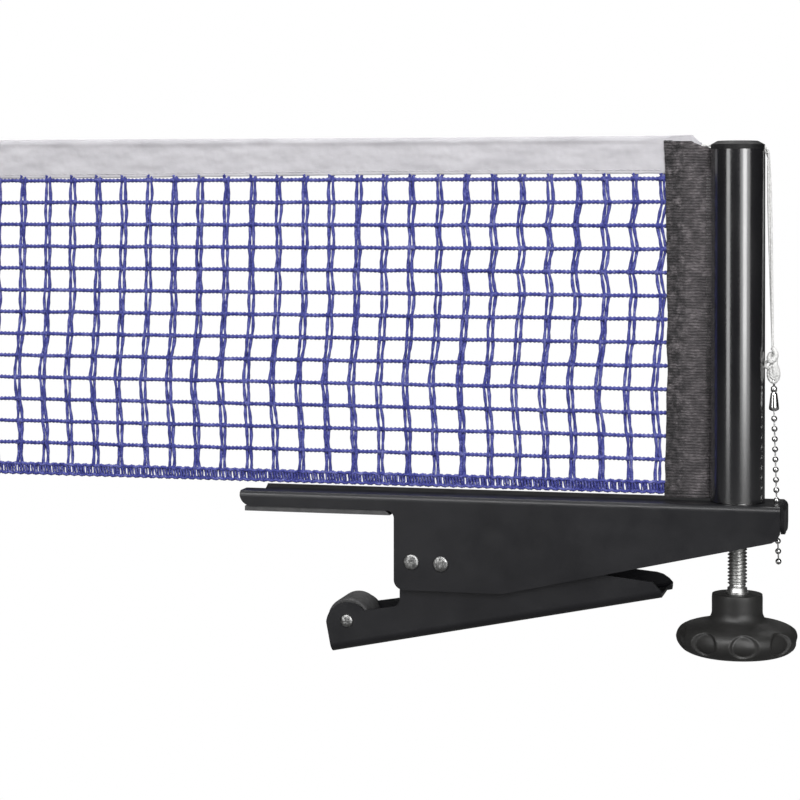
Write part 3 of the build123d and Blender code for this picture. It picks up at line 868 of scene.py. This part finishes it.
def sleeve_point(share, side, z, depth):
    """Point on the sleeve's face, depth millimetres inside its outer surface."""
    left, right = sleeve_edges(z)
    ends = min(1.0, 0.35 + 0.65 * min(z - SLEEVE_FOOT, SLEEVE_TOP - z) / 2.6)
    rounding = math.sqrt(max(0.0, 1 - share ** 12))
    half = (1.1 + sleeve_relief(share, z + side * 40)) * rounding * ends
    least = 0.42 + 0.5 * (1 - eased(share / 0.3))
    return (between(left, right - depth, share), side * max(0.04, max(least, half) * rounding - depth), z)


def sleeve_panels(shape):
    """Front and back panel, folded at the post's side and open towards the net."""
    across = 34
    levels = 230
    cloth = 0.36
    rise = [(k / (across - 1)) ** 0.9 for k in range(across)]
    rows = []
    for level in range(levels + 1):
        z = between(SLEEVE_FOOT, SLEEVE_TOP, level / levels)
        outer = [sleeve_point(share, -1, z, 0.0) for share in rise]
        outer += [sleeve_point(share, 1, z, 0.0) for share in reversed(rise)]
        inner = [sleeve_point(share, 1, z, cloth) for share in rise]
        inner += [sleeve_point(share, -1, z, cloth) for share in reversed(rise)]
        rows.append(outer + inner)
    shape.folded(rows)


def net_end_sleeve(finish):
    """Dark cloth sleeve at the end of the net, with its neck through the slit and the hem inside the post."""
    shape = Shape()
    sleeve_panels(shape)
    foot, top = HEM_FOOT, HEM_TOP
    neck = [[(x, -0.8, foot), (x, 0.8, foot), (x, 0.8, top), (x, -0.8, top)] for x in (155.2, 157.5, 160.0)]
    shape.grid(neck)
    shape.turned([(3.1, foot), (4.0, foot + 0.2), (4.0, top - 0.2), (3.1, top)], 28, (HEM_X, 0.0))
    piece = shape.build("net_end_sleeve_cloth", finish, "post", ["net_end_sleeve"])


# Screw and knob -------------------------------------------------------------


def height_screw(finish):
    """Threaded screw, with a plain shank in the knob and a thin journal at its top."""
    shape = Shape()
    foot, thread_foot, thread_top, top = -46.0, -25.3, 34.7, 49.0
    shank = [
        (SHANK_RADIUS - 0.3, foot), (SHANK_RADIUS, foot + 0.3), (SHANK_RADIUS, thread_foot - 0.4),
        (SCREW_RADIUS - 0.6, thread_foot),
    ]
    shape.turned(shank, 40, (POST_X, 0.0))
    rings = []
    around = 36
    per_turn = 12
    thread_depth = 0.82
    journal = 3.0
    count = int((thread_top - thread_foot) / SCREW_PITCH * per_turn)
    for i in range(count + 1):
        z = between(thread_foot, thread_top, i / count)
        fade = min(1.0, i / per_turn, (count - i) / per_turn)
        ring = []
        for k in range(around):
            phase = (z / SCREW_PITCH - k / around) % 1.0
            ridge = min(1.0, max(0.0, 1.12 - 2.35 * abs(phase - 0.5)))
            radius = SCREW_RADIUS - thread_depth * (1 - ridge * fade)
            angle = TURN * k / around
            ring.append((POST_X + radius * math.cos(angle), radius * math.sin(angle), z))
        rings.append(ring)
    shape.grid(rings)
    shape.turned([(journal, thread_top - 0.5), (journal, top - 0.4), (journal - 0.4, top)], 32, (POST_X, 0.0))
    return shape.build("height_screw_thread", finish, "height_knob", ["height_screw"])


def rivet_heads(finish, name, node, body, centre, seat, radius, shaft):
    """Rivet with a low, uneven peened dome at each end and a small dimple in its middle."""
    rise = 1.0
    dome = []
    for k in range(9):
        share = k / 8
        height = rise * math.sqrt(max(0.0, 1 - (0.94 * share) ** 2)) - 0.16 * math.exp(-((share / 0.22) ** 2))
        dome.append((0.05 + (radius - 0.05) * share, height))
    front = [(r, -(seat + h)) for r, h in dome] + [(radius, -seat), (shaft, -seat)]
    profile = front + [(r, -y) for r, y in reversed(front)]
    shape = Shape()
    shape.turned(profile, 36, centre, lying=True)
    uneven = []
    for x, y, z in shape.points:
        push = 0.1 * wobble(x, z, 1.3, 3.0) if abs(y) > seat + 0.2 else 0.0
        uneven.append((x, y + math.copysign(push, y), z))
    shape.points = uneven
    shape.build(name, finish, body, [node])


def rivets(finish):
    """The lever's pivot, the pin that limits its swing and the roller's axle."""
    rivet_heads(finish, "pivot_rivet_heads", "pivot_rivet", "clamp_frame", PIVOT, FRAME_HALF, 3.1, 2.5)
    rivet_heads(finish, "stop_rivet_heads", "stop_rivet", "clamp_frame", STOP_PIN, FRAME_HALF, 3.1, 2.0)
    rivet_heads(finish, "roller_axle_heads", "roller_axle", "lever", ROLLER_AXLE, LEVER_HALF, 2.6, 2.0)


def torsion_spring(finish):
    """Spring round the lever's pivot, with a leg at each end that bends once near the coil."""
    shape = Shape()
    pivot_x, pivot_z = PIVOT
    wire = 0.8
    coil = 5.6
    turns = 6
    half = 6.0
    per_turn = 28
    path = []
    for k in range(turns * per_turn + 1):
        angle = TURN * k / per_turn
        y = between(-half, half, k / (turns * per_turn))
        path.append(Vector((pivot_x + coil * math.cos(angle), y, pivot_z + coil * math.sin(angle))))
    shape.tube(path, wire, sides=12)
    for side, rise, tip in ((1, 1.2, (66.0, 5.2)), (-1, -2.4, (80.0, -38.2))):
        root = Vector((pivot_x + coil, side * half, pivot_z))
        bend = Vector((pivot_x + coil + 2.4, side * (half + wire), pivot_z + rise))
        end = Vector((tip[0], side * (half + wire), tip[1]))
        leg = [root.lerp(bend, k / 6) for k in range(6)] + [bend.lerp(end, k / 24) for k in range(25)]
        shape.tube(leg, wire, sides=12)
    piece = shape.build("torsion_spring_wire", finish, None, ["torsion_spring"])
    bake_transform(piece)


def knob_profile():
    """Points (radius, height) on a Catmull-Rom curve from the bore, over the hub and the rim, to the foot."""
    corners = [
        (SHANK_RADIUS + 0.1, KNOB_TOP - 0.7), (SHANK_RADIUS + 0.9, KNOB_TOP), (9.2, KNOB_TOP),
        (9.9, KNOB_TOP - 0.8), (9.95, -33.0), (10.1, -36.0), (11.5, -38.1), (14.6, -39.1), (19.0, -40.1),
        (22.4, -41.8), (KNOB_RADIUS, -44.6), (23.3, -47.4), (21.0, -50.0), (17.6, -51.4), (15.0, -51.5),
        (14.2, -50.7), (6.0, -50.5), (0.4, -50.5),
    ]
    found = []
    per_span = 7
    padded = [corners[0]] + corners + [corners[-1]]
    for a, b, c, d in zip(padded, padded[1:], padded[2:], padded[3:]):
        for step in range(per_span):
            t = step / per_span
            spot = []
            for p, q, r, s in zip(a, b, c, d):
                spot.append(0.5 * (2 * q + (r - p) * t + (2 * p - 5 * q + 4 * r - s) * t * t
                                   + (3 * q - 3 * r + s - p) * t ** 3))
            found.append(tuple(spot))
    found.append(corners[-1])
    return found


def knob(finish):
    """Knob with oval finger hollows pressed into its rim."""
    shape = Shape()
    hollows = 9
    first = math.radians(-78.4)
    hollow_height = -45.2
    half_length = 5.9
    half_height = 4.6
    rim_start = 18
    around = 270
    rings = []
    for radius, z in knob_profile():
        ring = []
        for k in range(around):
            angle = TURN * k / around
            off = (angle - first + TURN / hollows / 2) % (TURN / hollows) - TURN / hollows / 2
            reach = (off * radius / half_length) ** 2 + ((z - hollow_height) / half_height) ** 2
            dent = 0.0
            if radius > rim_start:
                rim = 0.08 * math.exp(-(((reach - 1.06) / 0.09) ** 2))
                dent = 1.35 * eased((1 - reach) * 2.6) - rim
            ring.append((POST_X + (radius - dent) * math.cos(angle), (radius - dent) * math.sin(angle), z))
        rings.append(ring)
    shape.grid(rings)
    return shape.build("knob_body", finish, "height_knob", ["knob"])


# Stage ----------------------------------------------------------------------


def area_light(name, azimuth, elevation, distance, width, height, power):
    """Soft box aimed at the clamp. Azimuth is in degrees from -Y towards +X."""
    data = bpy.data.lights.new(name, "AREA")
    data.shape = "RECTANGLE"
    data.size = width
    data.size_y = height
    data.energy = power
    light = bpy.data.objects.new(name, data)
    bearing, rise = math.radians(azimuth), math.radians(elevation)
    aim = Vector((0.11, 0.0, 0.05))
    away = Vector((math.sin(bearing) * math.cos(rise), -math.cos(bearing) * math.cos(rise), math.sin(rise)))
    light.location = aim + away * distance
    light.rotation_euler = away.to_track_quat("Z", "Y").to_euler()
    bpy.context.scene.collection.objects.link(light)


def pale_stage():
    """White floor below the clamp. It shines only for the camera and reflects little light upward."""
    finish = Finish("stage_white", roughness=0.9)
    finish.color(finish.noise(400), (0.3, (0.12, 0.12, 0.12)), (0.7, (0.14, 0.14, 0.14)))
    floor = Shape()
    half = 4000.0
    drop = -130.0
    near_edge = [(-half, -half, drop), (half, -half, drop)]
    far_edge = [(-half, half, drop), (half, half, drop)]
    floor.grid([near_edge, far_edge], around=False)
    tree = finish.tree
    seen = finish.add("ShaderNodeLightPath").outputs["Is Camera Ray"]
    glow = finish.add("ShaderNodeEmission")
    mix = finish.add("ShaderNodeMixShader")
    tree.links.new(seen, mix.inputs["Fac"])
    tree.links.new(finish.shader.outputs[0], mix.inputs[1])
    tree.links.new(glow.outputs[0], mix.inputs[2])
    tree.links.new(mix.outputs[0], tree.nodes["Material Output"].inputs["Surface"])
    floor.build("stage_floor", finish.material)


def white_room():
    """White to look at, dim as a light."""
    world = bpy.data.worlds.new("room")
    bpy.context.scene.world = world
    world.use_nodes = True
    tree = world.node_tree
    tree.nodes.clear()
    seen = tree.nodes.new("ShaderNodeLightPath").outputs["Is Camera Ray"]
    level = tree.nodes.new("ShaderNodeMapRange")
    level.inputs["To Min"].default_value = 0.018
    level.inputs["To Max"].default_value = 1.0
    sky = tree.nodes.new("ShaderNodeBackground")
    sky.inputs["Color"].default_value = (1.0, 1.0, 1.0, 1.0)
    out = tree.nodes.new("ShaderNodeOutputWorld")
    tree.links.new(seen, level.inputs["Value"])
    tree.links.new(level.outputs["Result"], sky.inputs["Strength"])
    tree.links.new(sky.outputs[0], out.inputs["Surface"])


def studio():
    """A broad soft box with a hot middle on the right, a narrow one on the left, two above and one behind."""
    bpy.context.scene.view_settings.view_transform = "Standard"
    white_room()
    pale_stage()
    area_light("key_wide", azimuth=38, elevation=15, distance=1.5, width=1.15, height=1.25, power=10)
    area_light("key_core", azimuth=37, elevation=17, distance=1.45, width=0.42, height=1.15, power=8.5)
    area_light("fill_left", azimuth=-33, elevation=15, distance=1.5, width=0.42, height=1.25, power=6.0)
    area_light("top_front", azimuth=-14, elevation=46, distance=1.2, width=1.3, height=0.34, power=10)
    area_light("top_soft", azimuth=0, elevation=84, distance=1.2, width=1.2, height=0.5, power=2.0)
    area_light("back_high", azimuth=200, elevation=62, distance=1.5, width=1.4, height=0.9, power=14)


# Assembly -------------------------------------------------------------------


def main():
    place_camera()
    finishes = {
        "powder_coated_steel": charcoal_coat(),
        "post_paint": post_gloss(),
        "cap_plastic": cap_plastic(),
        "black_plastic": knob_plastic(),
        "dark_plastic": dark_plastic(),
        "jaw_rubber": pad_rubber(),
        "roller_rubber": roller_rubber(),
        "plated_steel": bright_zinc(),
        "spring_steel": spring_wire(),
        "brass": turned_brass(),
        "bright_chain": chain_nickel(),
        "white_tape": tape_cloth(),
        "blue_net": net_thread(),
        "dark_webbing": sleeve_cloth(),
        "white_cord": cord_braid(),
    }
    cord_and_chain(finishes["white_cord"], finishes["bright_chain"])
    paint_cad_nodes(finishes)
    net_mesh(finishes["blue_net"])
    net_bottom_band(finishes["blue_net"])
    net_tape(finishes["white_tape"])
    net_end_sleeve(finishes["dark_webbing"])
    rivets(peened_zinc())
    torsion_spring(finishes["spring_steel"])
    height_screw(finishes["plated_steel"])
    knob(finishes["black_plastic"])
    studio()


main()
